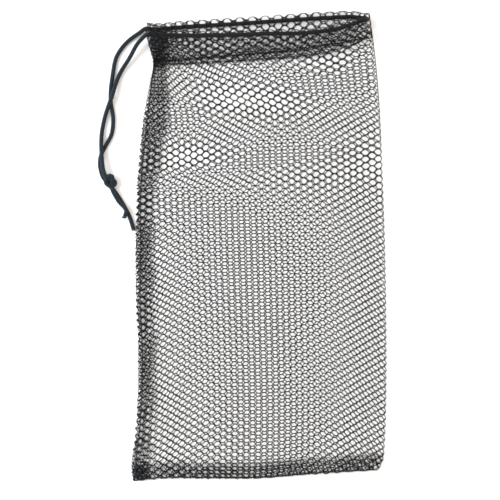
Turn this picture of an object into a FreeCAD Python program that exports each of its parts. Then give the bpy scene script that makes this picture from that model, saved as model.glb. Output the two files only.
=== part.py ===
"""Mesh drawstring laundry bag, lying flat and empty, with its mouth slightly open.

Frame: millimetres, +Z up off the table, +Y from the bottom seam to the mouth, +X to the right.
The origin is on the table under the middle of the back panel.

The bag is one length of hexagonal net, folded along the right edge and sewn along the left edge
and the bottom. Its mouth is hemmed, and one cord runs in the hem: along the back, round the right
corner and back along the front. Both ends leave at the left corner, cross twice, are tied together
in an overhand knot and end in two sealed tips.

The net is flexible, so the solids stand for its layers at rest: two flat sheets, held apart by the
height of the cord's turn, with the seams along the left and the bottom and the fold along the
right. The corner of the hem is a solid of its own, because the cord's turn pulls it along when the
mouth is gathered.
"""
import FreeCAD, Part
import math
import os

from FreeCAD import Vector

# Driving dimensions of the bag, in mm. Corners are in the plane of the table.
BOTTOM_LEFT = Vector(-127, -237, 0)
BOTTOM_RIGHT = Vector(126, -228, 0)
MOUTH_RIGHT = Vector(114, 243, 0)
MOUTH_LEFT = Vector(-116, 227, 0)
SHEET = 1.0                # thickness of one layer of net
LOFT = 20.0                # height of the empty bag, table to top of the front panel

# Hem, seams and threads.
HEM_DEPTH = 30.0           # how far the hem is folded down inside
HEM_LAYER = 0.8            # thickness of the hem's inner layer
RIM_TOP = 6.0              # height of the hem's folded rim, which stands beside the cord
RIM_SHORT = 2.0            # the hem stops this far short of the right corner
ALLOWANCE = 14.0           # width of the turned-in seam allowance
THREAD_R = 0.4
STITCH_INSET = 2.0         # thread to the edge of the seam or hem that it holds
CLEARANCE = 0.1            # between a thread and the cloth it lies on

# Cord.
CORD_R = 1.9
CORD_INSET = 4.0           # cord axis below the mouth's edge
CORD_GAP = 0.2             # between the cord and what it slides over
EXIT_GAP = 2.0             # the cord bends this far outside the left edge
BEND_GAP = 2.5             # clearance on each side of that bend
CORNER_TOP = 10.0          # the hem's corner starts this far below the mouth's edge
TIP_R = 2.2
TIP_LENGTH = 2.0
TIP_GAP = 0.05

# Knot, lying on the table beside the bag.
KNOT = Vector(-153.4, 69.8, 6.2)
KNOT_LENGTH = 12.8
KNOT_R = 6.0

BACK_Z = SHEET
FRONT_Z = LOFT - SHEET
BACK_CORD_Z = BACK_Z + HEM_LAYER + CORD_GAP + CORD_R
FRONT_CORD_Z = LOFT - BACK_CORD_Z
TURN_R = (FRONT_CORD_Z - BACK_CORD_Z) / 2
UP = Vector(0, 0, 1)


class Edge:
    """One straight edge of the bag, with a direction along it and one into the bag."""

    def __init__(self, start, end, inward_turn):
        self.start = start
        self.length = (end - start).Length
        self.along = (end - start) / self.length
        self.inward = UP.cross(self.along) * inward_turn

    def point(self, along, inward, z):
        return self.start + self.along * along + self.inward * inward + UP * z

    def prism(self, section, first, last):
        """Extrudes a section, given as (inward, z) corners, from first to last along the edge."""
        corners = [self.point(first, inward, z) for inward, z in section]
        face = Part.Face(Part.makePolygon(corners + corners[:1]))
        return face.extrude(self.along * (last - first))

    def rod(self, radius, inward, z, first, last):
        return Part.makeCylinder(radius, last - first, self.point(first, inward, z), self.along)

    def half_round(self, radius, first, last):
        """A strip of net folded round the edge at mid-height, open towards the inside."""
        middle = LOFT / 2
        rim = [
            Part.Arc(
                self.point(first, radius, middle - turn * size),
                self.point(first, radius - size, middle),
                self.point(first, radius, middle + turn * size),
            ).toShape()
            for size, turn in ((radius, 1), (radius - SHEET, -1))
        ]
        tips = [
            Part.makeLine(
                self.point(first, radius, middle + side * radius),
                self.point(first, radius, middle + side * (radius - SHEET)),
            )
            for side in (1, -1)
        ]
        section = Part.Face(Part.Wire([rim[0], tips[0], rim[1], tips[1]]))
        return section.extrude(self.along * (last - first))


LEFT = Edge(BOTTOM_LEFT, MOUTH_LEFT, -1)
BOTTOM = Edge(BOTTOM_LEFT, BOTTOM_RIGHT, 1)
RIGHT = Edge(BOTTOM_RIGHT, MOUTH_RIGHT, 1)
MOUTH = Edge(MOUTH_LEFT, MOUTH_RIGHT, -1)
EXIT = MOUTH.point(-EXIT_GAP, CORD_INSET, 0)
TURN_AT = MOUTH.length - TURN_R - CORD_R - CORD_GAP    # centre of the cord's turn, along the mouth
BELOW_HEM = HEM_DEPTH + 2 * SHEET                      # where the seams and the fold stop


def panel(z_low):
    corners = [BOTTOM_LEFT, BOTTOM_RIGHT, MOUTH_RIGHT, MOUTH_LEFT]
    lifted = [corner + UP * z_low for corner in corners]
    return Part.Face(Part.makePolygon(lifted + lifted[:1])).extrude(UP * SHEET)


def seam(edge, first, last):
    """A seam's edge, which joins the two sheets, and its allowance turned in on the back panel."""
    section = [
        (0, BACK_Z),
        (ALLOWANCE, BACK_Z),
        (ALLOWANCE, BACK_Z + SHEET),
        (SHEET, BACK_Z + SHEET),
        (SHEET, FRONT_Z),
        (0, FRONT_Z),
    ]
    return edge.prism(section, first, last)


def hem(turned_over):
    """The hem's inner layer and the folded rim beside the cord; turned over for the front."""
    section = [
        (0, BACK_Z),
        (HEM_DEPTH, BACK_Z),
        (HEM_DEPTH, BACK_Z + HEM_LAYER),
        (SHEET, BACK_Z + HEM_LAYER),
        (SHEET, RIM_TOP),
        (0, RIM_TOP),
    ]
    if turned_over:
        section = [(inward, LOFT - z) for inward, z in section]
    return MOUTH.prism(section, 0, MOUTH.length - RIM_SHORT)


def hem_corner(thread_top):
    """The hem where it turns the right corner. It slides between the hem's two inner layers."""
    radius = LOFT / 2 - thread_top - CORD_GAP
    return RIGHT.half_round(radius, RIGHT.length - HEM_DEPTH, RIGHT.length - CORNER_TOP)


def cord_run(z):
    return MOUTH.rod(CORD_R, CORD_INSET, z, BEND_GAP - EXIT_GAP, TURN_AT)


def cord_turn():
    """The half turn that joins the back run to the front run inside the right corner."""
    centre = MOUTH.point(TURN_AT, CORD_INSET, LOFT / 2)
    start = centre - UP * TURN_R
    profile = Part.Face(Part.Wire(Part.makeCircle(CORD_R, start, MOUTH.along)))
    return profile.revolve(centre, MOUTH.along.cross(UP), 180)


def smooth_path(points):
    curve = Part.BSplineCurve()
    curve.interpolate(points)
    return curve


def heading(curve, point):
    return curve.tangent(curve.parameter(point))[0]


def swept_cord(points):
    """A round cord along a smooth path, as a loft through one circle at each point."""
    path = smooth_path(points)
    rings = [Part.Wire(Part.makeCircle(CORD_R, p, heading(path, p))) for p in points]
    return Part.makeLoft(rings, True)


# The back run's lead lies on the table. The front run's lead comes down from the front of the bag
# and crosses over the other one twice.
BACK_LEAD = [
    EXIT + Vector(-BEND_GAP, 0, BACK_CORD_Z),
    Vector(-130.6, 219.2, 2.6),
    Vector(-142.4, 205.9, 2.0),
    Vector(-149.9, 187.0, 2.0),
    Vector(-153.2, 162.1, 2.0),
    Vector(-150.6, 134.0, 2.0),
    Vector(-152.6, 118.0, 2.0),
    Vector(-158.8, 106.2, 2.0),
    Vector(-163.9, 94.5, 2.0),
    Vector(-164.0, 84.5, 2.4),
    Vector(-160.0, 77.0, 3.6),
]
FRONT_LEAD = [
    EXIT + Vector(-BEND_GAP, -BEND_GAP, FRONT_CORD_Z),
    Vector(-126.5, 208.3, 12.5),
    Vector(-133.6, 196.4, 7.5),
    Vector(-140.7, 185.8, 4.4),
    Vector(-146.0, 174.0, 4.4),
    Vector(-150.5, 160.5, 6.2),
    Vector(-154.4, 150.6, 6.3),
    Vector(-158.8, 138.0, 4.2),
    Vector(-162.4, 123.0, 2.3),
    Vector(-162.5, 112.0, 3.6),
    Vector(-162.3, 101.0, 6.2),
    Vector(-161.2, 92.0, 6.4),
    Vector(-159.6, 83.5, 7.4),
    Vector(-157.6, 78.2, 8.6),
]

# The tails start clear of the knot. The short one lies on the long one.
LONG_TAIL = [
    Vector(-150.8, 61.4, 4.0),
    Vector(-146.9, 55.6, 2.5),
    Vector(-142.0, 48.2, 2.0),
    Vector(-137.3, 39.9, 2.0),
    Vector(-133.3, 32.0, 2.0),
    Vector(-130.3, 22.2, 2.0),
]
SHORT_TAIL = [
    Vector(-151.2, 61.2, 8.4),
    Vector(-147.6, 54.2, 7.0),
    Vector(-143.4, 47.2, 6.6),
    Vector(-139.4, 40.4, 6.6),
    Vector(-138.6, 35.6, 6.6),
]


def knot():
    """The overhand knot, as a rounded body."""
    half_length = KNOT_LENGTH / 2
    angles = [step * math.pi / 4 for step in range(5)]
    half = [Vector(KNOT_R * math.sin(a), half_length * math.cos(a), 0) + KNOT for a in angles]
    outline = Part.BSplineCurve()
    outline.interpolate(Points=half, InitialTangent=Vector(1, 0, 0), FinalTangent=Vector(-1, 0, 0))
    profile = Part.Face(Part.Wire([outline.toShape(), Part.makeLine(half[-1], half[0])]))
    return profile.revolve(KNOT, Vector(0, 1, 0), 360)


def sealed_tip(points):
    """The short melted bead on the end of a tail."""
    direction = heading(smooth_path(points), points[-1])
    bead = Part.makeCylinder(TIP_R, TIP_LENGTH, points[-1] + direction * TIP_GAP, direction)
    return bead.makeFillet(TIP_LENGTH / 3, bead.Edges)


def stitch_line(edge, inward, heights, first, last):
    """The threads of one seam, as a straight rod at each of the heights."""
    rods = [edge.rod(THREAD_R, inward, z, first, last) for z in heights]
    return Part.makeCompound(rods)


def build():
    allowance_thread_z = BACK_Z + SHEET + CLEARANCE + THREAD_R
    hem_thread_z = BACK_Z + HEM_LAYER + CLEARANCE + THREAD_R
    hem_stitch = HEM_DEPTH - STITCH_INSET
    hem_end = MOUTH.length - RIM_SHORT
    side_start = ALLOWANCE + SHEET
    side_end = LEFT.length - BELOW_HEM
    bottom_end = BOTTOM.length - LOFT / 2
    outside = LOFT + CLEARANCE + THREAD_R
    return {
        "back_panel": panel(0),
        "front_panel": panel(FRONT_Z),
        "folded_edge": RIGHT.half_round(LOFT / 2 - SHEET, SHEET, RIGHT.length - BELOW_HEM),
        "side_seam": seam(LEFT, side_start, side_end),
        "bottom_seam": seam(BOTTOM, 0, bottom_end),
        "side_seam_thread": stitch_line(
            LEFT, STITCH_INSET, [allowance_thread_z], side_start, side_end),
        "bottom_seam_thread": stitch_line(
            BOTTOM, STITCH_INSET, [allowance_thread_z], STITCH_INSET, bottom_end),
        "back_hem": hem(turned_over=False),
        "front_hem": hem(turned_over=True),
        "back_hem_thread": stitch_line(MOUTH, hem_stitch, [hem_thread_z], 0, hem_end),
        "front_hem_thread": stitch_line(
            MOUTH, hem_stitch, [LOFT - hem_thread_z, outside], 0, hem_end),
        "hem_corner": hem_corner(hem_thread_z + THREAD_R),
        "cord_back_run": cord_run(BACK_CORD_Z),
        "cord_front_run": cord_run(FRONT_CORD_Z),
        "cord_turn": cord_turn(),
        "cord_back_lead": swept_cord(BACK_LEAD),
        "cord_front_lead": swept_cord(FRONT_LEAD),
        "knot": knot(),
        "long_tail": swept_cord(LONG_TAIL),
        "long_tail_tip": sealed_tip(LONG_TAIL),
        "short_tail": swept_cord(SHORT_TAIL),
        "short_tail_tip": sealed_tip(SHORT_TAIL),
    }


os.makedirs("parts", exist_ok=True)
for name, shape in build().items():
    assert shape.isValid() and shape.Volume > 0, name
    shape.exportStep(os.path.join("parts", name + ".step"))
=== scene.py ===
"""Looks of a mesh drawstring laundry bag that lies flat and empty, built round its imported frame.

The bag is one sheet of hexagonal net. The sheet is made flat, as a lattice of cells, and every point
of it is then placed on the bag: round the fold along the right edge, turned in along the seams and
folded down inside at the mouth. One braided cord runs through the hem and ends in a knot and two tails.
Sizes are in metres in the frame's own axes: +Z up, +Y to the mouth.
"""

import math

import bpy
import numpy as np
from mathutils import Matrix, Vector


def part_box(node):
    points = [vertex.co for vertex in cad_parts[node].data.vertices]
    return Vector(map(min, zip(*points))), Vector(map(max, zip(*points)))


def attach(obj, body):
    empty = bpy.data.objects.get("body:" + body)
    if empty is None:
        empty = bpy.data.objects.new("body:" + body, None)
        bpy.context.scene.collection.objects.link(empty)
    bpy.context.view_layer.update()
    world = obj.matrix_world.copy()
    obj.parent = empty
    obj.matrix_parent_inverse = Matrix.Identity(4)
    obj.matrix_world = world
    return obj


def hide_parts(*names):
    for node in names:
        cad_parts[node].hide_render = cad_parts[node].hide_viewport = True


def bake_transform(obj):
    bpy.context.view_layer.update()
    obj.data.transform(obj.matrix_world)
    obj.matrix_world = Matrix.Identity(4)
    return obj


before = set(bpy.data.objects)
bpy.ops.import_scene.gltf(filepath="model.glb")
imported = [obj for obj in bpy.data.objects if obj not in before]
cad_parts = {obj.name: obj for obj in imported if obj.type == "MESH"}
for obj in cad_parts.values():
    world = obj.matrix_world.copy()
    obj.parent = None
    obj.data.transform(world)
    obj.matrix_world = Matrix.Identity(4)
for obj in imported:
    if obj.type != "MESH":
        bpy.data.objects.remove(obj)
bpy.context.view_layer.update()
MM = 0.001
UP = np.array([0.0, 0.0, 1.0])

# ---------------------------------------------------------------------------------------------
# Driving sizes
# ---------------------------------------------------------------------------------------------
COLUMN = 5.9 * MM              # from one column of cells to the next
CELL_HEIGHT = 7.07 * MM
STRAND_H = 0.4 * MM            # half the height of a strand
FLAT_INSET = 0.48 * MM         # half the width of a strand along a flat of the cell
SLANT_INSET = 0.35 * MM        # half the width of a slanted strand
POINT_INSET = 0.64 * MM        # how far a cell's opening stays off its left and right corners
CORNER_INSET = 0.6 * MM        # and off its other corners
STRAY = 0.22 * MM              # how far a strand may stray from the regular lattice
LAYER = 1.25 * MM              # from one layer of net to the next
SEAM_ALLOWANCE = 15.5 * MM
MOUTH_ALLOWANCE = 18 * MM      # how much wider the side seam's allowance is near the mouth
MOUTH_ALLOWANCE_FROM = (0.6, 0.95)     # shares of the bag's height between which it widens
BOTTOM_ALLOWANCE = 15 * MM
HEM_DEPTH = 38 * MM
HEM_TAPER = 13 * MM            # how much less it is at the fold
HEM_TAPER_REACH = 40 * MM      # and how soon it reaches its full depth
TURN_UNDER = 6 * MM            # the hem's raw edge, turned under
SEAM_R = 0.65 * MM             # radius of the crease at a seam
RIM_R = 1.6 * MM               # radius of the fold over the cord
FOLD_WIDTH = 11 * MM           # the net that is kept as the folded edge's own piece
TAKE_UP = 50 * MM              # the length over which the net takes up what a crease uses
BACK_LEVEL = 0.75 * MM         # middle of the back layer above the table
CORD_R = 2.1 * MM
CORD_BELOW_RIM = 5.5 * MM

# ---------------------------------------------------------------------------------------------
# Curves and unevenness
# ---------------------------------------------------------------------------------------------
def cubic(low, high, slope_low, slope_high, f, span):
    """A smooth curve from low to high, with those slopes at its ends. f is the share of the span."""
    rise = low * (1 + 2 * f) * (1 - f) ** 2 + high * f * f * (3 - 2 * f)
    lean = slope_low * f * (1 - f) ** 2 - slope_high * f * f * (1 - f)
    return rise + lean * span


def outline(points):
    """A smooth function through a few (share of the edge, millimetres) points."""
    shares = np.array([p[0] for p in points], float)
    values = np.array([p[1] for p in points], float) * MM
    slopes = np.gradient(values, shares)

    def value(share):
        share = np.clip(share, shares[0], shares[-1])
        i = np.clip(np.searchsorted(shares, share) - 1, 0, len(shares) - 2)
        span = shares[i + 1] - shares[i]
        f = (share - shares[i]) / span
        return cubic(values[i], values[i + 1], slopes[i], slopes[i + 1], f, span)

    return value


def waves(x, y, seed, size, count=6):
    """Slow, smooth, repeatable unevenness between about -1 and 1, with waves about that size long."""
    rng = np.random.RandomState(seed)
    total = 0.0
    for _ in range(count):
        angle = rng.uniform(0, 2 * math.pi)
        length = size * rng.uniform(0.7, 1.5)
        phase = rng.uniform(0, 2 * math.pi)
        total = total + np.sin((x * math.cos(angle) + y * math.sin(angle)) * 2 * math.pi / length + phase)
    return total / math.sqrt(count) / 1.4


def smooth(low, high, x):
    """Rises smoothly from 0 to 1 between low and high."""
    f = np.clip((x - low) / (high - low), 0, 1)
    return f * f * (3 - 2 * f)


# ---------------------------------------------------------------------------------------------
# The bag's plan, from the frame
# ---------------------------------------------------------------------------------------------
def corner(right, up):
    """The corner of the back panel furthest to that side."""
    points = [v.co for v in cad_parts["back_panel"].data.vertices]
    best = max(points, key=lambda p: right * p.x + up * p.y)
    return np.array([best.x, best.y])


BOTTOM_LEFT, BOTTOM_RIGHT = corner(-1, -1), corner(1, -1)
MOUTH_LEFT, MOUTH_RIGHT = corner(-1, 1), corner(1, 1)
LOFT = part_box("front_panel")[1].z

# The sheet's own axes: t runs up the fold, and d is the distance from the fold into the bag.
FOLD_LENGTH = np.linalg.norm(MOUTH_RIGHT - BOTTOM_RIGHT)
T_AXIS = (MOUTH_RIGHT - BOTTOM_RIGHT) / FOLD_LENGTH
D_AXIS = np.array([-T_AXIS[1], T_AXIS[0]])


def to_sheet(point):
    offset = point - BOTTOM_RIGHT
    return offset @ D_AXIS, offset @ T_AXIS


LEFT_LOW, LEFT_HIGH = to_sheet(BOTTOM_LEFT), to_sheet(MOUTH_LEFT)


def left_edge(t):
    share = (t - LEFT_LOW[1]) / (LEFT_HIGH[1] - LEFT_LOW[1])
    return LEFT_LOW[0] + share * (LEFT_HIGH[0] - LEFT_LOW[0])


def bottom_edge(d):
    return d / LEFT_LOW[0] * LEFT_LOW[1]


def mouth_edge(d):
    return FOLD_LENGTH + d / LEFT_HIGH[0] * (LEFT_HIGH[1] - FOLD_LENGTH)


def hem_depth(d):
    return HEM_DEPTH - HEM_TAPER * np.exp(-d / HEM_TAPER_REACH)


# How far each edge of the soft bag strays from the straight frame, bottom to mouth or left to right.
LEFT_IN = outline([(0, -3), (0.03, -4.8), (0.1, -1.8), (0.2, 0.6), (0.28, 0.5), (0.4, -2.3), (0.55, -4.2),
                   (0.68, -4.8), (0.78, -3), (0.86, -0.8), (1, 0)])
GATHER_IN = outline([(0, 0), (0.72, 0), (0.83, 2.6), (0.88, 6), (0.925, 8.8), (0.965, 3.5), (1, 0)])
RIGHT_OUT = outline([(0, -3), (0.02, 2), (0.05, 4), (0.1, 5.8), (0.2, 7.8), (0.35, 9.3), (0.6, 9.3),
                     (0.75, 8), (0.85, 5.9), (0.93, 3), (1, -0.5)])
BOTTOM_OUT = outline([(0, 2.8), (0.08, 1.2), (0.3, 2.7), (0.5, 4.4), (0.72, 2), (1, 0)])
BACK_RIM = outline([(0, 7.5), (0.05, 5.4), (0.1, 4.5), (0.2, 4.8), (0.45, 4.4), (0.7, 4.8), (0.83, 4.6),
                    (0.93, 3.8), (1, 0.3)])
FRONT_RIM = outline([(0, -2), (0.12, -4.4), (0.33, -9), (0.55, -11), (0.77, -13.1), (0.87, -10.4),
                     (0.93, -6), (1, -1)])
# Powers of the share of the way across or up the bag. The higher one is, the closer that outline
# stays to its own edge.
LEFT_POWER = 3
GATHER_POWER = 9
RIGHT_POWER = 2
BOTTOM_POWER = 4
RIM_POWER = 12
LEFT_LOOP_POWER = 60
BOTTOM_LOOP_POWER = 120
BUNCH = 21 * MM                # how far the net is pushed together towards the cord's exit
BUNCH_SHARE = 0.12             # over this share of the mouth
BUNCH_FROM = (0.78, 0.92)      # shares of the bag's height between which it begins
SCALLOP = 0.6 * MM             # the loops of the net that stand out along the left and bottom edges
LOOP_DRIFT = 4                 # how unevenly they come, in radians
WANDER = 0.35 * MM             # how far the net wanders off its regular place
WANDER_SIZE = 0.14             # over this length
WRINKLE = 0.35 * MM            # how high the wrinkles in each layer are
WRINKLE_SIZE = 0.05


def plan(u, v, d, t, front):
    """Where a point of the flat bag lies on the table. u runs left to right, v bottom to mouth."""
    u, v = np.clip(u, 0, 1), np.clip(v, 0, 1)
    straight = BOTTOM_RIGHT + d[:, None] * D_AXIS + t[:, None] * T_AXIS
    # Two loops to a cell along the left edge, and one to every two columns along the bottom.
    left_loops = np.cos(t * 4 * math.pi / CELL_HEIGHT + LOOP_DRIFT * waves(d, t, seed=41, size=0.06))
    bottom_loops = np.cos(d * math.pi / COLUMN + LOOP_DRIFT * waves(d, t, seed=43, size=0.05))
    left = LEFT_IN(v) * (1 - u) ** LEFT_POWER + GATHER_IN(v) * (1 - u) ** GATHER_POWER
    left = left - BUNCH * smooth(*BUNCH_FROM, v) * (1 - np.exp(-u / BUNCH_SHARE)) * (1 - u)
    left = left - SCALLOP * left_loops * (1 - u) ** LEFT_LOOP_POWER
    x = straight[:, 0] + left + RIGHT_OUT(v) * u ** RIGHT_POWER
    rim = np.where(front, FRONT_RIM(u), BACK_RIM(u))
    y = straight[:, 1] - BOTTOM_OUT(u) * (1 - v) ** BOTTOM_POWER + rim * v ** RIM_POWER
    y = y - SCALLOP / 2 * bottom_loops * (1 - v) ** BOTTOM_LOOP_POWER
    return x, y


# ---------------------------------------------------------------------------------------------
# Meshes
# ---------------------------------------------------------------------------------------------
def mesh_object(name, points, faces):
    mesh = bpy.data.meshes.new(name)
    mesh.from_pydata([tuple(p) for p in points], [], faces)
    mesh.polygons.foreach_set("use_smooth", [True] * len(mesh.polygons))
    mesh.update()
    piece = bpy.data.objects.new(name, mesh)
    bpy.context.scene.collection.objects.link(piece)
    return piece


def rectangle(name, x0, y0, x1, y1, z):
    return mesh_object(name, [(x0, y0, z), (x1, y0, z), (x1, y1, z), (x0, y1, z)], [(0, 1, 2, 3)])


# ---------------------------------------------------------------------------------------------
# Height of the two layers
# ---------------------------------------------------------------------------------------------
SEAM_GAP = 3 * LAYER           # the two allowances lie between the layers at a seam
FOLD_GAP = SEAM_GAP * 1.3      # the folded edge springs open a little more
MOUTH_GAP = 0.72 * LOFT        # between the layers at the mouth
FOLD_OPENS_FROM = 0.35         # share of the bag's height from which the layers part at the fold
LEFT_OPENS_FROM = 0.72         # and at the left seam
BOTTOM_SHUT_POWER = 6          # the higher, the closer to the bottom seam the layers stay together
CROWN = 4.5 * MM               # how far the layers stand apart in the middle before they settle
CROWN_END_POWER = 4            # the higher, the closer to the mouth the crown reaches
SLACK = 0.012                  # how much longer the front layer is than the space it lies in
SETTLE_FRAMES = 30
FLOOR_MARGIN = 0.1             # how far the floor of the simulation stands out round the layer


def gap_at_fold(v):
    return FOLD_GAP + (MOUTH_GAP - FOLD_GAP) * smooth(FOLD_OPENS_FROM, 1, v)


def gap_at_left(v):
    return SEAM_GAP + (MOUTH_GAP - SEAM_GAP) * smooth(LEFT_OPENS_FROM, 1, v)


def rest_gap(u, v):
    """The gap between the layers before the front layer settles."""
    sides = gap_at_left(v) * (1 - u) + gap_at_fold(v) * u
    crown = CROWN * np.sin(math.pi * u) * np.sin(math.pi * v) ** 0.5
    shut = (1 - v) ** BOTTOM_SHUT_POWER
    return sides * (1 - shut) + SEAM_GAP * shut + crown * (1 - v ** CROWN_END_POWER)


def add_cloth(sheet):
    """Thin, limp net, held by the vertex group of that name."""
    cloth = sheet.modifiers.new("settle", "CLOTH")
    cloth.settings.quality = 8
    cloth.settings.mass = 0.02
    cloth.settings.tension_stiffness = 8
    cloth.settings.compression_stiffness = 8
    cloth.settings.bending_stiffness = 0.02
    cloth.settings.vertex_group_mass = "held"
    cloth.settings.shrink_min = -SLACK
    cloth.collision_settings.distance_min = LAYER / 2
    cloth.point_cache.frame_end = SETTLE_FRAMES


def settle(u, v, start):
    """Cloth simulation: the front layer sinks onto the back layer between its sewn and folded edges."""
    rows, columns = u.shape
    x = BOTTOM_RIGHT[0] - (1 - u).ravel() * LEFT_LOW[0]
    y = BOTTOM_RIGHT[1] + v.ravel() * FOLD_LENGTH
    index = np.arange(rows * columns).reshape(rows, columns)
    quads = np.stack([index[:-1, :-1], index[:-1, 1:], index[1:, 1:], index[1:, :-1]], axis=2).reshape(-1, 4)
    sheet = mesh_object("settling_sheet", np.column_stack([x, y, start.ravel()]), quads.tolist())
    held = np.concatenate([index[0], index[-1], index[:, 0], index[:, -1]])
    sheet.vertex_groups.new(name="held").add(held.tolist(), 1.0, "REPLACE")
    under = rectangle("settling_floor", x.min() - FLOOR_MARGIN, y.min() - FLOOR_MARGIN,
                      x.max() + FLOOR_MARGIN, y.max() + FLOOR_MARGIN, LAYER)
    under.modifiers.new("hit", "COLLISION")
    under.collision.thickness_outer = LAYER
    add_cloth(sheet)
    for number in range(1, SETTLE_FRAMES + 1):
        bpy.context.scene.frame_set(number)
    settled = sheet.evaluated_get(bpy.context.evaluated_depsgraph_get())
    height = np.array([vertex.co.z for vertex in settled.data.vertices]).reshape(rows, columns)
    bpy.data.objects.remove(sheet)
    bpy.data.objects.remove(under)
    bpy.context.scene.frame_set(1)
    return height


class Drape:
    """The front layer's height above the back layer, as a grid over the bag."""

    columns, rows = 44, 84
    width, length = 0.25, 0.47     # of the bag, about
    uneven, uneven_size = 0.9 * MM, 0.09
    least, most = 1.8 * LAYER, MOUTH_GAP * 1.1

    def __init__(self):
        u, v = np.meshgrid(np.linspace(0, 1, self.columns), np.linspace(0, 1, self.rows))
        edge = np.sin(math.pi * u) * np.sin(math.pi * v)
        swell = waves(u * self.width, v * self.length, seed=5, size=self.uneven_size)
        self.height = rest_gap(u, v) + self.uneven * swell * edge
        self.height = np.clip(settle(u, v, self.height), self.least, self.most)

    def __call__(self, u, v):
        x = np.clip(u, 0, 1) * (self.columns - 1)
        y = np.clip(v, 0, 1) * (self.rows - 1)
        i = np.clip(x.astype(int), 0, self.columns - 2)
        j = np.clip(y.astype(int), 0, self.rows - 2)
        fx, fy = x - i, y - j
        low = self.height[j, i] * (1 - fx) + self.height[j, i + 1] * fx
        high = self.height[j + 1, i] * (1 - fx) + self.height[j + 1, i + 1] * fx
        return low * (1 - fy) + high * fy


drape = Drape()

# ---------------------------------------------------------------------------------------------
# From the flat sheet to the bag
# ---------------------------------------------------------------------------------------------
CASING_DEPTH = 9 * MM          # down to here the hem is a tube round the cord
CASING_END = 26 * MM           # and from here on it lies flat
CORD_SQUEEZE = 0.6 * MM        # how much tighter than the cord the tube is
NORMAL_STEP = 0.2 * MM         # the sheet's normal is measured over this step each way


def crease(beyond, radius):
    """Folds a sheet back on itself. Gives the distance inside the crease, and 0 to 1 for the turn."""
    turn = np.clip(beyond / radius, -math.pi / 2, math.pi / 2)
    round_part = radius * (1 - np.cos(turn))
    past_turn = np.maximum(np.abs(beyond) - math.pi / 2 * radius, 0)
    straight_part = np.abs(beyond) - (math.pi / 2 - 1) * radius * np.exp(-past_turn / TAKE_UP)
    inside = np.where(np.abs(beyond) < math.pi / 2 * radius, round_part, straight_part)
    return inside, (1 + np.sin(turn)) / 2


def hem_gap(depth):
    """From the outer layer to the hem's inner layer, wide where the cord lies."""
    return 2 * LAYER + (2 * CORD_R - CORD_SQUEEZE) * (1 - smooth(CASING_DEPTH, CASING_END, depth))


def place(s, t):
    """Puts points of the flat sheet on the bag. s is positive on the front and negative on the back."""
    front = s > 0
    s = s + WANDER * waves(s, t, seed=11, size=WANDER_SIZE)
    t = t + WANDER * waves(s, t, seed=23, size=WANDER_SIZE)
    fold_r = gap_at_fold(np.clip(t / FOLD_LENGTH, 0, 1)) / 2
    d, _ = crease(np.abs(s), fold_r)
    round_the_fold = np.sin(np.clip(np.abs(s) / fold_r, 0, math.pi / 2))
    rim = mouth_edge(d)
    from_rim, rim_turn = crease(t - rim, RIM_R)
    depth = hem_depth(d)
    tucked, tuck_turn = crease(from_rim - depth, SEAM_R)
    inner = t > rim
    from_rim = np.where(inner, depth - tucked, from_rim)
    tuck = np.where(inner, tuck_turn, 0)
    from_bottom, bottom_turn = crease(bottom_edge(d) - t, SEAM_R)
    t_in = np.where(t > FOLD_LENGTH / 2, rim - from_rim, bottom_edge(d) + from_bottom)
    edge = left_edge(t_in)
    from_left, left_turn = crease(d - edge, SEAM_R)
    d_in = edge - from_left
    u = 1 - d_in / edge
    v = (t_in - bottom_edge(d_in)) / (mouth_edge(d_in) - bottom_edge(d_in))
    x, y = plan(u, v, d_in, t_in, front)
    inward = (left_turn + bottom_turn - tuck) * LAYER + rim_turn * hem_gap(from_rim)
    wrinkles = WRINKLE * waves(x, y, seed=31, size=WRINKLE_SIZE)
    gap = drape(u, v)
    level = np.where(front, gap - inward + wrinkles, inward + np.abs(wrinkles))
    z = gap / 2 + (level - gap / 2) * round_the_fold
    return np.column_stack([x, y, z + BACK_LEVEL])


def place_with_normal(s, t, offset):
    """Places points, then lifts each by its offset along the sheet's outward normal."""
    here = place(s, t)
    along_s = place(s + NORMAL_STEP, t) - place(s - NORMAL_STEP, t)
    along_t = place(s, t + NORMAL_STEP) - place(s, t - NORMAL_STEP)
    normal = np.cross(along_t, along_s)
    normal /= np.maximum(np.linalg.norm(normal, axis=1, keepdims=True), 1e-12)
    return here + normal * offset[:, None]


# ---------------------------------------------------------------------------------------------
# The net
# ---------------------------------------------------------------------------------------------
# The lattice is laid out in whole units, so that neighbouring cells share their points exactly.
UNITS_WIDE, UNITS_HIGH = 12, 4         # units in a column's width and in a cell's height
UNIT = np.array([COLUMN / UNITS_WIDE, CELL_HEIGHT / UNITS_HIGH])
# Half of the points round a cell, and how far the opening is inset at each. The other half is opposite.
HALF_RING = [(9, 0), (6, 1), (3, 2), (0, 2), (-3, 2), (-6, 1)]
HALF_INSETS = [POINT_INSET, SLANT_INSET, CORNER_INSET, FLAT_INSET, CORNER_INSET, SLANT_INSET]
RING = np.array(HALF_RING + [(-x, -y) for x, y in HALF_RING])
INSETS = np.array(HALF_INSETS * 2)
SHOULDER_INSET = 0.45          # how far in a strand's shoulder is, as a share of its inset
SHOULDER_RISE = 0.82           # and how high, as a share of STRAND_H
SHEET_WIDTH = 0.62             # of the lattice, half of it on each side of the fold
SHEET_HEIGHT = 0.62            # and its height above the bottom of the fold
ROWS_BELOW = 12                # the rows of cells below that

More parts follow.
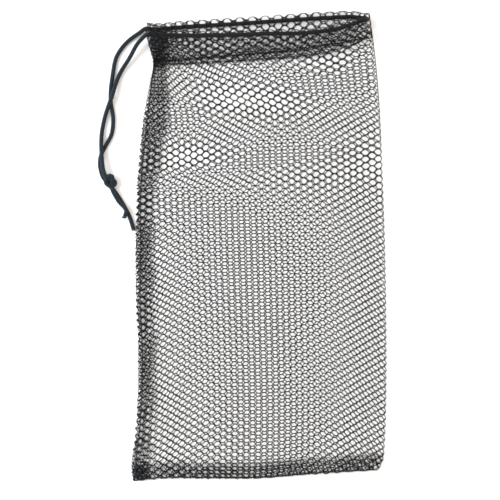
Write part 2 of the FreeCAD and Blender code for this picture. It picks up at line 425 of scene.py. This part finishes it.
# How the net hangs on the bag.
COLUMN_SHIFT = COLUMN / 4      # from the fold, so that the front's columns lie between the back's
COLUMN_LEAN = math.radians(1.7)        # of the columns near the mouth
LEAN_FROM = (0.47, 0.71)       # shares of the bag's height between which they begin to lean
FRONT_TURN = math.radians(0.3)         # of the front's rows near the mouth
BACK_TURN = math.radians(1.8)          # and of the back's
TURN_FROM = (0.61, 0.71)       # shares of the height between which they begin to turn
LOW_STRETCH = 0.011            # how much wider the front's columns are low down, and the back's narrower
MOUTH_STRETCH = -0.013         # and near the mouth
STRETCH_FROM = (0.5, 0.9)      # shares of the height between which one becomes the other
ROW_BOW = -1.5 * MM            # how far the rows bow low down, up on one face and down on the other
BOW_MIDDLE = 125 * MM          # the middle of that bow, from the fold

# For a repeatable jumble of the two whole numbers that a point of the lattice has.
JUMBLE_STEPS = np.array([7919, 104729])
JUMBLE_RANGE = 2147483647
JUMBLE_TURNS = (12.9898, 78.233)


def lattice_to_sheet(points):
    """Lays the lattice on the sheet. Its rows bow low down, and it hangs askew near the mouth."""
    x, y = points[:, 0], points[:, 1]
    v = y / FOLD_LENGTH
    d = np.abs(x)
    begin, end = LEAN_FROM
    share = np.clip((v - begin) / (end - begin), 0, 1)
    # The sum of smooth(*LEAN_FROM, v) from the bottom up to v.
    drift = (end - begin) * (share ** 3 - share ** 4 / 2) + np.maximum(v - end, 0)
    stretch = LOW_STRETCH + (MOUTH_STRETCH - LOW_STRETCH) * smooth(*STRETCH_FROM, v)
    s = x + COLUMN_SHIFT + stretch * d - COLUMN_LEAN * FOLD_LENGTH * drift
    turned = smooth(*TURN_FROM, v)
    bow = ROW_BOW * (d / BOW_MIDDLE - 1) ** 2 * (1 - np.exp(-d / FOLD_WIDTH)) * np.sign(x)
    turn = np.where(x > 0, FRONT_TURN, BACK_TURN)
    return s, y + bow * (1 - turned) + turn * turned * x


def all_cells():
    """Every cell of the sheet, in units, with its middle on the sheet. Odd columns sit half a cell up."""
    columns, rows = int(SHEET_WIDTH / COLUMN), int(SHEET_HEIGHT / CELL_HEIGHT)
    cells = np.array([
        (UNITS_WIDE * i, UNITS_HIGH * j + UNITS_HIGH // 2 * (i % 2))
        for i in range(-columns // 2, columns // 2) for j in range(-ROWS_BELOW, rows)
    ])
    s, t = lattice_to_sheet(cells * UNIT)
    return cells, s, t


def stray(points):
    """How far each point of the lattice strays, the same in every piece it is part of."""
    key = (points @ JUMBLE_STEPS) % JUMBLE_RANGE
    return np.column_stack([np.sin(key * turn) for turn in JUMBLE_TURNS]) * STRAY


def net_mesh(name, cells):
    """One closed mesh of rounded strands round the given cells."""
    keys = (cells[:, None, :] + RING[None]).reshape(-1, 2)
    unique, index = np.unique(keys, axis=0, return_inverse=True)
    index = index.reshape(len(cells), len(RING))
    ridge = unique * UNIT + stray(unique)
    around = ridge[index]
    spoke = around - around.mean(axis=1, keepdims=True)
    spoke /= np.linalg.norm(spoke, axis=2, keepdims=True)
    hole = (around - spoke * INSETS[None, :, None]).reshape(-1, 2)
    half = (around - spoke * INSETS[None, :, None] * SHOULDER_INSET).reshape(-1, 2)
    count, n = len(unique), len(cells) * len(RING)
    flat = np.concatenate([ridge, ridge, half, hole])
    offset = np.repeat([1, -1, SHOULDER_RISE, 0], [count, count, n, n]) * STRAND_H
    points = place_with_normal(*lattice_to_sheet(flat), offset)
    own = np.arange(n).reshape(len(cells), len(RING))
    top, low = index, index + count
    shoulder, opening = own + 2 * count, own + 2 * count + n
    quads = []
    for outer, inner in ((top, shoulder), (shoulder, opening), (opening, low)):
        a, b = outer, np.roll(outer, -1, axis=1)
        c, d = np.roll(inner, -1, axis=1), inner
        quads.append(np.stack([d, c, b, a], axis=2).reshape(-1, 4))
    edge = np.stack([index, np.roll(index, -1, axis=1)], axis=2).reshape(-1, 2)
    code = np.sort(edge, axis=1) @ np.array([count, 1])
    _, first, times = np.unique(code, return_index=True, return_counts=True)
    rim = edge[first[times == 1]]
    quads.append(np.column_stack([rim[:, 1], rim[:, 1] + count, rim[:, 0] + count, rim[:, 0]]))
    piece = mesh_object(name, points, np.concatenate(quads).tolist())
    faces = piece.data.polygons
    faces.foreach_set("use_smooth", np.arange(len(faces)) < len(faces) - len(rim))   # the rim stays flat
    return piece


def build_net():
    """Sorts the cells into the named pieces of the bag and makes each one."""
    cells, s, t = all_cells()
    d = np.abs(s)
    edge, rim, bottom = left_edge(t), mouth_edge(d), bottom_edge(d)
    sheet_end = rim + hem_depth(d) + TURN_UNDER
    allowance = SEAM_ALLOWANCE + MOUTH_ALLOWANCE * smooth(*MOUTH_ALLOWANCE_FROM, t / FOLD_LENGTH)
    kept = (d < edge + allowance) & (t > bottom - BOTTOM_ALLOWANCE) & (t < sheet_end)
    front, back = s > 0, s <= 0
    in_hem = t > rim - hem_depth(d)
    at_fold = d < FOLD_WIDTH
    in_side = d > edge
    in_bottom = t < bottom
    body = kept & ~in_hem & ~in_side & ~in_bottom & ~at_fold
    groups = {
        "front_net": body & front,
        "back_net": body & back,
        "fold_net": kept & at_fold & ~in_hem,
        "side_allowance": kept & in_side & ~in_hem & ~in_bottom,
        "bottom_allowance": kept & in_bottom & ~at_fold,
        "front_hem_net": kept & in_hem & front & ~at_fold,
        "back_hem_net": kept & in_hem & back & ~at_fold,
        "hem_corner_net": kept & in_hem & at_fold,
    }
    return {name: net_mesh(name, cells[chosen]) for name, chosen in groups.items()}


net = build_net()

# ---------------------------------------------------------------------------------------------
# Round skins along a path
# ---------------------------------------------------------------------------------------------
FINE_POINTS = 4                # a path is first followed at this many points to each even step


def travel_frames(path):
    """Two directions square to the path at each point, which turn with it but never twist."""
    along = np.gradient(path, axis=0)
    along /= np.linalg.norm(along, axis=1, keepdims=True)
    side = np.cross(along, UP)
    for i in range(1, len(path)):
        side[i] = side[i - 1] - along[i] * (side[i - 1] @ along[i])
        side[i] /= np.linalg.norm(side[i])
    side[0] /= np.linalg.norm(side[0])
    return side, np.cross(along, side)


def skin(path, side, other, radius):
    """Points and faces of a closed skin round a path. radius has one row per ring, one column per side."""
    rings, sides = radius.shape
    angle = np.linspace(0, 2 * math.pi, sides, endpoint=False)
    out = side[:, None] * np.cos(angle)[None, :, None] + other[:, None] * np.sin(angle)[None, :, None]
    points = (path[:, None] + out * radius[:, :, None]).reshape(-1, 3)
    index = np.arange(rings * sides).reshape(rings, sides)
    turned = np.roll(index, -1, axis=1)
    quads = np.stack([index[:-1], turned[:-1], turned[1:], index[1:]], axis=2).reshape(-1, 4).tolist()
    caps = [index[0][::-1].tolist(), index[-1].tolist()]
    return points, quads + caps


def joined(skins):
    """The points and faces of several skins as one."""
    points, faces = [], []
    for skin_points, skin_faces in skins:
        faces.extend([[i + len(points) for i in face] for face in skin_faces])
        points.extend(skin_points)
    return points, faces


def travelled(path):
    """How far along the path each of its points comes."""
    return np.concatenate([[0], np.cumsum(np.linalg.norm(np.diff(path, axis=0), axis=1))])


def even_path(points, step):
    """A smooth path through the points, at even steps, and how far along it each point comes."""
    points = np.asarray(points, float)
    chord = travelled(points)
    slopes = np.gradient(points, chord, axis=0)
    fine = np.linspace(0, chord[-1], int(chord[-1] / step) * FINE_POINTS)
    i = np.clip(np.searchsorted(chord, fine) - 1, 0, len(chord) - 2)
    span = (chord[i + 1] - chord[i])[:, None]
    f = (fine - chord[i])[:, None] / span
    dense = cubic(points[i], points[i + 1], slopes[i], slopes[i + 1], f, span)
    length = travelled(dense)
    even = np.linspace(0, length[-1], int(length[-1] / step))
    path = np.column_stack([np.interp(even, length, dense[:, k]) for k in range(3)])
    return path, np.interp(chord, fine, length)


# ---------------------------------------------------------------------------------------------
# The cord
# ---------------------------------------------------------------------------------------------
CORD_SIDES = 28
RING_STEP = 0.4 * MM
BRAID_STRANDS = 6              # strands that run each way round the braid
BRAID_PITCH = 2.4 * MM         # length of one stitch of the braid
BRAID_RELIEF = 0.17 * MM
GROOVE_POWER = 0.6             # the lower, the narrower the grooves between the strands
HEM_POINTS = 28                # along each run of the cord in the hem
TURN_POINTS = 7                # round its turn between the two
TURN_IN = 2.5 * MM             # from the fold in to the turn
TABLE_Z = CORD_R + 0.1 * MM    # middle of a cord that lies on the table
OVER_Z = 3 * CORD_R + 0.2 * MM         # middle of a cord that lies on another

knot_low, knot_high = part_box("knot")
KNOT_Z = 6.2 * MM
KNOT = np.array([(knot_low.x + knot_high.x) / 2, (knot_low.y + knot_high.y) / 2, KNOT_Z])
KNOT_AXIS = np.array([0.45, -0.89, 0.0])       # from the leads to the tails
KNOT_SIDE = np.array([-0.89, -0.45, 0.0])      # towards the side the cord enters and leaves by
KNOT_LENGTH = 1.9 * MM         # of one unit of the knot's curve, along its axis
KNOT_WIDTH = 1.45 * MM         # and to its side
KNOT_HEIGHT = 0.2 * MM         # and down
KNOT_REACH = 1.95              # the curve is followed from minus this to this
KNOT_POINTS = 27
PAIR = 1.4 * MM                # the knot is tied in both cords, which lie side by side
SEAL_UNEVEN = 0.05             # how uneven a melted end is at its tip, as a share of its radius


def hem_path(front):
    """The cord's run inside the hem, left to right, to where it turns at the fold."""
    low = BACK_LEVEL + hem_gap(CORD_BELOW_RIM) / 2
    high = BACK_LEVEL + MOUTH_GAP - hem_gap(CORD_BELOW_RIM) / 2
    turn_r = (high - low) / 2
    d = np.linspace(left_edge(FOLD_LENGTH), TURN_IN + turn_r, HEM_POINTS)
    t = mouth_edge(d) - CORD_BELOW_RIM
    x, y = plan(1 - d / left_edge(t), t / mouth_edge(d), d, t, np.full(len(d), front))
    z = np.full(len(d), high if front else low)
    return np.column_stack([x, y, z]), turn_r


def hem_turn(back_end, front_end, radius):
    """The half turn from the back run up to the front run, just inside the fold."""
    middle = (back_end + front_end) / 2
    outward = np.array([-D_AXIS[0], -D_AXIS[1], 0.0])
    sway = (front_end - back_end) * np.array([1, 1, 0]) / 2
    points = []
    for angle in np.linspace(-math.pi / 2, math.pi / 2, TURN_POINTS + 2)[1:-1]:
        points.append(middle + outward * radius * math.cos(angle) + UP * radius * math.sin(angle)
                      + sway * math.sin(angle))
    return points


def knot_path(upper):
    """One of the two cords through the knot, from the leads' side to the tails' side.

    The overhand knot is the polynomial curve (t^3 - 3t, t^4 - 4t^2, t^5 - 10t).
    """
    t = np.linspace(-KNOT_REACH, KNOT_REACH, KNOT_POINTS)
    middle = KNOT + KNOT_SIDE * 2 * KNOT_WIDTH
    path = (middle + np.outer(t ** 3 - 3 * t, KNOT_AXIS) * KNOT_LENGTH
            + np.outer(t ** 4 - 4 * t * t, KNOT_SIDE) * KNOT_WIDTH
            - np.outer(t ** 5 - 10 * t, UP) * KNOT_HEIGHT)
    along = np.gradient(path, axis=0) * np.array([1, 1, 0])
    left = np.cross(UP, along / np.linalg.norm(along, axis=1, keepdims=True))
    return path + (left + UP) * (PAIR if upper else -PAIR)


def from_knot(points):
    """Points given in millimetres from the knot's middle in plan, with their real height."""
    return [KNOT * np.array([1, 1, 0]) + np.array([x * MM, y * MM, z]) for x, y, z in points]


BACK_LEAD = from_knot([
    (28.7, 152.7, 3.0 * MM), (16.8, 143.8, TABLE_Z), (6.8, 130.2, TABLE_Z), (2.1, 109.5, TABLE_Z),
    (0.1, 83.9, TABLE_Z), (2.7, 65.2, TABLE_Z), (0.8, 48.2, TABLE_Z), (-5.4, 36.4, TABLE_Z),
    (-10.5, 24.7, TABLE_Z), (-10.4, 14.0, 3.6 * MM),
])
FRONT_LEAD = from_knot([
    (31.7, 144.4, 11.4 * MM), (19.8, 126.6, 6.6 * MM), (9.2, 110.1, 3.4 * MM), (2.1, 88.2, OVER_Z),
    (-5.8, 66.0, 3.2 * MM), (-9.2, 48.2, 3.0 * MM), (-8.9, 31.1, OVER_Z), (-8.0, 20.0, 7.4 * MM),
    (-6.6, 11.5, 9.2 * MM),
])
LONG_TAIL = from_knot([
    (2.6, -7.8, 3.0 * MM), (11.0, -20.1, TABLE_Z), (20.1, -37.3, TABLE_Z), (23.7, -49.0, TABLE_Z),
])
SHORT_TAIL = from_knot([
    (2.6, -8.8, OVER_Z + 0.5 * MM), (8.7, -20.1, OVER_Z), (16.6, -31.0, OVER_Z), (15.3, -36.0, OVER_Z),
])


class Cord:
    """The whole cord from the long tail's end to the short tail's end, and the rings of each part."""

    held_parts = ("back_knot", "hem_cord", "front_knot")

    def __init__(self):
        back_run, turn_r = hem_path(False)
        front_run, _ = hem_path(True)
        turn = hem_turn(back_run[-1], front_run[-1], turn_r)
        parts = {
            "long_tail_cord": LONG_TAIL[::-1],
            "back_knot": knot_path(False)[::-1],
            "back_lead_cord": BACK_LEAD[::-1],
            "hem_cord": [*back_run, *turn, *front_run[::-1]],
            "front_lead_cord": FRONT_LEAD,
            "front_knot": knot_path(True),
            "short_tail_cord": SHORT_TAIL,
        }
        points, begins = [], []
        for name, part in parts.items():
            # A held part begins at its own first point, and any other where the part before it ends.
            begins.append(len(points) if name in self.held_parts else max(len(points) - 1, 0))
            points.extend(part)
        self.path, reached = even_path(points, RING_STEP)
        self.side, self.other = travel_frames(self.path)
        rings = np.round(reached[begins] / RING_STEP).astype(int)
        ends = [*rings[1:], len(self.path) - 1]
        self.parts = dict(zip(parts, zip(rings, ends)))

    def radius(self, rings):
        """The braid: strands that wind both ways and pass over one another in turn."""
        angle = np.linspace(0, 2 * math.pi, CORD_SIDES, endpoint=False)[None, :] * BRAID_STRANDS / 2
        travel = rings[:, None] * RING_STEP * math.pi / BRAID_PITCH
        crossing = np.abs(np.sin(angle + travel) * np.sin(angle - travel)) ** GROOVE_POWER
        return CORD_R - BRAID_RELIEF / 2 + BRAID_RELIEF * crossing

    def faces(self, name):
        begin, end = self.parts[name]
        rings = np.arange(begin, end + 1)
        return skin(self.path[rings], self.side[rings], self.other[rings], self.radius(rings))

    def piece(self, name, *parts):
        """One piece made of one or more parts of the cord."""
        return mesh_object(name, *joined(self.faces(part) for part in parts))

    def seal(self, name, at_end, profile, lean):
        """The melted end, with rings given as (millimetres beyond the cord, share of its radius)."""
        ring = -1 if at_end else 0
        step = self.path[-1] - self.path[-2] if at_end else self.path[0] - self.path[1]
        along = step / np.linalg.norm(step)
        beyond = np.array([p[0] for p in profile]) * MM
        radius = np.array([p[1] for p in profile]) * CORD_R
        path = self.path[ring] + np.outer(beyond, along) + np.outer(beyond ** 2 / beyond[-1], lean)
        angle = np.linspace(0, 2 * math.pi, CORD_SIDES, endpoint=False)
        uneven = 1 + SEAL_UNEVEN * np.sin(3 * angle + 1)[None] * (beyond / beyond[-1])[:, None]
        side = np.repeat(self.side[ring][None], len(path), axis=0)
        other = np.cross(along, side)
        return mesh_object(name, *skin(path, side, other, radius[:, None] * uneven))


cord = Cord()
cord_pieces = {
    "hem_cord": cord.piece("hem_cord", "hem_cord"),
    "back_lead_cord": cord.piece("back_lead_cord", "back_lead_cord"),
    "front_lead_cord": cord.piece("front_lead_cord", "front_lead_cord"),
    "knot_cords": cord.piece("knot_cords", "back_knot", "front_knot"),
    "long_tail_cord": cord.piece("long_tail_cord", "long_tail_cord"),
    "short_tail_cord": cord.piece("short_tail_cord", "short_tail_cord"),
}
LONG_SEAL = [(-0.3, 0.9), (0, 1.0), (0.3, 1.04), (0.9, 1.03), (1.3, 0.94), (1.5, 0.78), (1.55, 0.4)]
SHORT_SEAL = [(-0.3, 0.9), (0, 1.0), (0.5, 1.1), (1.1, 1.14), (1.6, 1.02), (1.9, 0.8), (2.0, 0.4)]
seals = {
    "long_tail_seal": cord.seal("long_tail_seal", at_end=False, profile=LONG_SEAL, lean=(-0.1, 0, 0)),
    "short_tail_seal": cord.seal("short_tail_seal", at_end=True, profile=SHORT_SEAL, lean=(-0.6, -0.1, 0)),
}

# ---------------------------------------------------------------------------------------------
# The stitching
# ---------------------------------------------------------------------------------------------
STITCH = 3.0 * MM
HOLE_POWER = 8                 # the higher, the less of a stitch lies in its needle hole
HOLE_DEPTH = 0.85              # how far a thread dips towards the other one, 1 being to where they meet
THREAD_STEP = 0.3 * MM
THREAD_SIDES = 6
SIDE_THREAD_R = 0.32 * MM
BOTTOM_THREAD_R = 0.4 * MM
HEM_THREAD_R = 0.3 * MM
SIDE_SEAM_IN = 4.2 * MM        # from the left edge of the bag to the stitches of the side seam
SIDE_START, SIDE_STOP = 3 * MM, 28 * MM        # where they start above the bottom and stop below the mouth
BOTTOM_SEAM_IN = 1.4 * MM      # from the bottom edge to the stitches of the bottom seam
BOTTOM_START = 6 * MM          # and from the fold
HEM_SEAM_IN = 2 * MM           # from the hem's inner edge, and from the left edge, to its stitches


def stitch_line(name, s, t, under_s, under_t, radius):
    """A lockstitch: a thread on each face of the layers, which meet in each needle hole."""
    top, under = place(s, t), place(under_s, under_t)
    higher, lower = np.maximum(top[:, 2], under[:, 2]), np.minimum(top[:, 2], under[:, 2])
    top[:, 2] = higher + STRAND_H + radius
    under[:, 2] = np.maximum(lower - STRAND_H - radius / 2, radius)
    under[:, :2] = top[:, :2]
    dip = np.abs(np.cos(travelled(top) * math.pi / STITCH)) ** HOLE_POWER
    middle = (top + under) / 2
    skins = []
    for line in (top, under):
        path = line + (middle - line) * HOLE_DEPTH * dip[:, None]
        side, other = travel_frames(path)
        skins.append(skin(path, side, other, np.full((len(path), THREAD_SIDES), radius)))
    return mesh_object(name, *joined(skins))


def side_stitches():
    t = np.arange(SIDE_START, FOLD_LENGTH - SIDE_STOP, THREAD_STEP)
    s = left_edge(t) - SIDE_SEAM_IN
    return stitch_line("side_stitches", s, t, -s, t, SIDE_THREAD_R)


def bottom_stitches():
    s = np.arange(BOTTOM_START, left_edge(0) - SIDE_SEAM_IN, THREAD_STEP)
    t = bottom_edge(s) + BOTTOM_SEAM_IN
    return stitch_line("bottom_stitches", s, t, -s, t, BOTTOM_THREAD_R)


def hem_stitches(name, face):
    """The face is 1 for the front and -1 for the back."""
    d = np.arange(FOLD_WIDTH, left_edge(FOLD_LENGTH) - HEM_SEAM_IN, THREAD_STEP)
    outer = mouth_edge(d) - hem_depth(d) + HEM_SEAM_IN
    inner = mouth_edge(d) + hem_depth(d) - HEM_SEAM_IN
    return stitch_line(name, face * d, outer, face * d, inner, HEM_THREAD_R)


threads = {
    "side_stitches": side_stitches(),
    "bottom_stitches": bottom_stitches(),
    "front_hem_stitches": hem_stitches("front_hem_stitches", 1),
    "back_hem_stitches": hem_stitches("back_hem_stitches", -1),
}

# ---------------------------------------------------------------------------------------------
# Materials
# ---------------------------------------------------------------------------------------------
def new_material(name, roughness, specular):
    material = bpy.data.materials.new(name)
    material.use_nodes = True
    shader = material.node_tree.nodes["Principled BSDF"]
    shader.inputs["Roughness"].default_value = roughness
    shader.inputs["Specular IOR Level"].default_value = specular
    return material, material.node_tree, shader


def object_noise(tree, scale, detail):
    """Noise fixed to the piece itself. The scale is in features per metre."""
    place_node = tree.nodes.new("ShaderNodeTexCoord")
    noise = tree.nodes.new("ShaderNodeTexNoise")
    noise.inputs["Scale"].default_value = scale
    noise.inputs["Detail"].default_value = detail
    tree.links.new(place_node.outputs["Object"], noise.inputs["Vector"])
    return noise.outputs["Fac"]


def object_bands(tree, spacing, direction):
    """Wavy bands across the piece, with the given spacing in metres."""
    place_node = tree.nodes.new("ShaderNodeTexCoord")
    bands = tree.nodes.new("ShaderNodeTexWave")
    bands.bands_direction = direction
    bands.inputs["Scale"].default_value = 2 * math.pi / (20 * spacing)     # 20 is Blender's own factor
    bands.inputs["Distortion"].default_value = 2.5
    bands.inputs["Detail"].default_value = 1.5
    tree.links.new(place_node.outputs["Object"], bands.inputs["Vector"])
    return bands.outputs["Fac"]


def colour_between(tree, shader, factor, dark, light):
    mix = tree.nodes.new("ShaderNodeMix")
    mix.data_type = "RGBA"
    mix.inputs["A"].default_value = (*dark, 1)
    mix.inputs["B"].default_value = (*light, 1)
    tree.links.new(factor, mix.inputs["Factor"])
    tree.links.new(mix.outputs["Result"], shader.inputs["Base Color"])


def bump(tree, shader, heights):
    """Stacks bumps given as (height output, depth in metres)."""
    normal = None
    for height, depth in heights:
        node = tree.nodes.new("ShaderNodeBump")
        node.inputs["Distance"].default_value = depth
        tree.links.new(height, node.inputs["Height"])
        if normal is not None:
            tree.links.new(normal, node.inputs["Normal"])
        normal = node.outputs["Normal"]
    tree.links.new(normal, shader.inputs["Normal"])


def fibre_sheen(shader, weight, tint):
    shader.inputs["Sheen Weight"].default_value = weight
    shader.inputs["Sheen Roughness"].default_value = 0.45
    shader.inputs["Sheen Tint"].default_value = (*tint, 1)


def net_finish(name, dark, light):
    """Textured polyester yarn, knitted: fine filaments, a twist along the strand and uneven dye."""
    material, tree, shader = new_material(name, roughness=0.65, specular=0.2)
    colour_between(tree, shader, object_noise(tree, 900, 3), dark, light)
    twist = object_bands(tree, 0.55 * MM, "DIAGONAL")
    filaments = object_noise(tree, 4000, 2)
    bump(tree, shader, [(twist, 0.12 * MM), (filaments, 0.05 * MM)])
    fibre_sheen(shader, 0.06, (0.8, 0.85, 0.95))
    return material


def cord_finish(name, dark, light):
    """Braided polyester cord: filaments along the strands and uneven dye. The braid itself is geometry."""
    material, tree, shader = new_material(name, roughness=0.65, specular=0.2)
    colour_between(tree, shader, object_noise(tree, 500, 4), dark, light)
    twist = object_bands(tree, 0.4 * MM, "DIAGONAL")
    filaments = object_noise(tree, 3000, 3)
    bump(tree, shader, [(twist, 0.08 * MM), (filaments, 0.08 * MM)])
    fibre_sheen(shader, 0.1, (0.75, 0.85, 1.0))
    return material


def thread_finish():
    """Twisted sewing thread."""
    material, tree, shader = new_material("thread", roughness=0.5, specular=0.4)
    colour_between(tree, shader, object_noise(tree, 1500, 2), (0.008, 0.01, 0.012), (0.022, 0.026, 0.03))
    bump(tree, shader, [(object_bands(tree, 0.35 * MM, "DIAGONAL"), 0.06 * MM)])
    fibre_sheen(shader, 0.15, (0.9, 0.9, 1.0))
    return material


def seal_finish():
    """Cord fused by heat: dark, smooth and a little glossy, with small ripples."""
    material, tree, shader = new_material("sealed_tip", roughness=0.28, specular=0.5)
    colour_between(tree, shader, object_noise(tree, 700, 2), (0.007, 0.009, 0.012), (0.02, 0.025, 0.03))
    bump(tree, shader, [(object_noise(tree, 1100, 3), 0.15 * MM)])
    return material


def floor_finish():
    """White paper: faint tooth and an even, dull face."""
    material, tree, shader = new_material("floor", roughness=0.85, specular=0.2)
    colour_between(tree, shader, object_noise(tree, 40, 2), (0.9, 0.9, 0.9), (0.93, 0.93, 0.93))
    bump(tree, shader, [(object_noise(tree, 900, 4), 0.02 * MM)])
    return material


finishes = {
    "net": net_finish("net", (0.002, 0.0025, 0.003), (0.008, 0.0095, 0.011)),
    "seam_net": net_finish("seam_net", (0.003, 0.004, 0.005), (0.010, 0.012, 0.016)),
    "thread": thread_finish(),
    "cord": cord_finish("cord", (0.004, 0.008, 0.013), (0.010, 0.021, 0.031)),
    "sealed_tip": seal_finish(),
}
# Painted shade: the cord inside the hem gets a darker copy of the cord's colour, for the shade that the
# hem's net casts on it.
shaded_cord = cord_finish("shaded_cord", (0.001, 0.0014, 0.0014), (0.004, 0.0055, 0.0055))


def finish(piece, slot_name, material=None):
    piece.data.materials.append(material or finishes[slot_name])


# ---------------------------------------------------------------------------------------------
# What each piece rides on and stands for
# ---------------------------------------------------------------------------------------------
STANDS_FOR = {
    "front_net": ["front_panel"],
    "back_net": ["back_panel"],
    "fold_net": ["folded_edge"],
    "side_allowance": ["side_seam"],
    "bottom_allowance": ["bottom_seam"],
    "front_hem_net": ["front_hem"],
    "back_hem_net": ["back_hem"],
    "hem_corner_net": ["hem_corner"],
    "side_stitches": ["side_seam_thread"],
    "bottom_stitches": ["bottom_seam_thread"],
    "front_hem_stitches": ["front_hem_thread"],
    "back_hem_stitches": ["back_hem_thread"],
    "hem_cord": ["cord_back_run", "cord_front_run", "cord_turn"],
    "back_lead_cord": ["cord_back_lead"],
    "front_lead_cord": ["cord_front_lead"],
    "knot_cords": ["knot"],
    "long_tail_cord": ["long_tail"],
    "short_tail_cord": ["short_tail"],
    "long_tail_seal": ["long_tail_tip"],
    "short_tail_seal": ["short_tail_tip"],
}

# Each net and thread piece gets its finish and has its placing baked into its points. The net's gather
# towards the cord's exit is already in its points from plan(), and nothing here moves it.
for name, piece in {**net, **threads}.items():
    if name in threads:
        finish(piece, "thread")
    else:
        finish(piece, "seam_net" if name.endswith("allowance") else "net")
    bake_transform(piece)


def bend_cord(name, start):
    """Finds which end of the cord piece lies next to start and bakes the piece's placing into its points.
    The piece does not bend.
    """
    begin, end = cord.parts[name]
    rings = cord.path[begin:end + 1]
    if np.linalg.norm(rings[-1] - start) < np.linalg.norm(rings[0] - start):
        rings = rings[::-1]
    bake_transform(cord_pieces[name])


for name, piece in cord_pieces.items():
    # The hem cord takes the darker copy, which is painted shade from the net over it.
    finish(piece, "cord", shaded_cord if name == "hem_cord" else None)
for piece in seals.values():
    finish(piece, "sealed_tip")
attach(cord_pieces["hem_cord"], "drawcord")
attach(cord_pieces["knot_cords"], "cord_lead")
exit_point = cord.path[cord.parts["hem_cord"][0]]
bend_cord("back_lead_cord", exit_point)
bend_cord("front_lead_cord", exit_point)
bend_cord("long_tail_cord", KNOT)
bend_cord("short_tail_cord", KNOT)
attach(seals["long_tail_seal"], "long_tail")
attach(seals["short_tail_seal"], "short_tail")

for name, piece in {**net, **threads, **cord_pieces, **seals}.items():
    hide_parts(*STANDS_FOR[name])

# ---------------------------------------------------------------------------------------------
# Floor, light and camera
# ---------------------------------------------------------------------------------------------
FLOOR_HALF = 3.0
ROOM_COLOUR, ROOM_STRENGTH = (1, 0.935, 0.88), 1.25
LIGHT_COLOUR = (0.82, 0.93, 1.0)
LENS, SENSOR = 85, 36          # millimetres
VIEW_WIDTH = 0.515             # what the picture spans at the bag
VIEW_MIDDLE = (-9.3 * MM, -0.8 * MM)   # the point the camera is over
VIEW_LEVEL = 6 * MM            # the height at which it spans that width

floor = rectangle("floor", -FLOOR_HALF, -FLOOR_HALF, FLOOR_HALF, FLOOR_HALF, 0)
floor.data.materials.append(floor_finish())

world = bpy.data.worlds.new("world")
bpy.context.scene.world = world
world.use_nodes = True
world.node_tree.nodes["Background"].inputs["Color"].default_value = (*ROOM_COLOUR, 1)
world.node_tree.nodes["Background"].inputs["Strength"].default_value = ROOM_STRENGTH


def soft_box(name, location, size, power):
    """A square soft light that faces the bag."""
    light = bpy.data.lights.new(name, "AREA")
    light.energy = power
    light.color = LIGHT_COLOUR
    light.size = size
    lamp = bpy.data.objects.new(name, light)
    lamp.location = location
    lamp.rotation_euler = (-Vector(location)).to_track_quat("-Z", "Y").to_euler()
    bpy.context.scene.collection.objects.link(lamp)


soft_box("key", location=(-1.2, 0.35, 1.3), size=0.7, power=26)

camera = bpy.data.cameras.new("camera")
camera.lens = LENS
camera.sensor_width = SENSOR
camera_object = bpy.data.objects.new("camera", camera)
camera_object.location = (*VIEW_MIDDLE, VIEW_WIDTH / SENSOR * LENS + VIEW_LEVEL)
bpy.context.scene.collection.objects.link(camera_object)
bpy.context.scene.camera = camera_object
bpy.context.scene.view_settings.view_transform = "Standard"
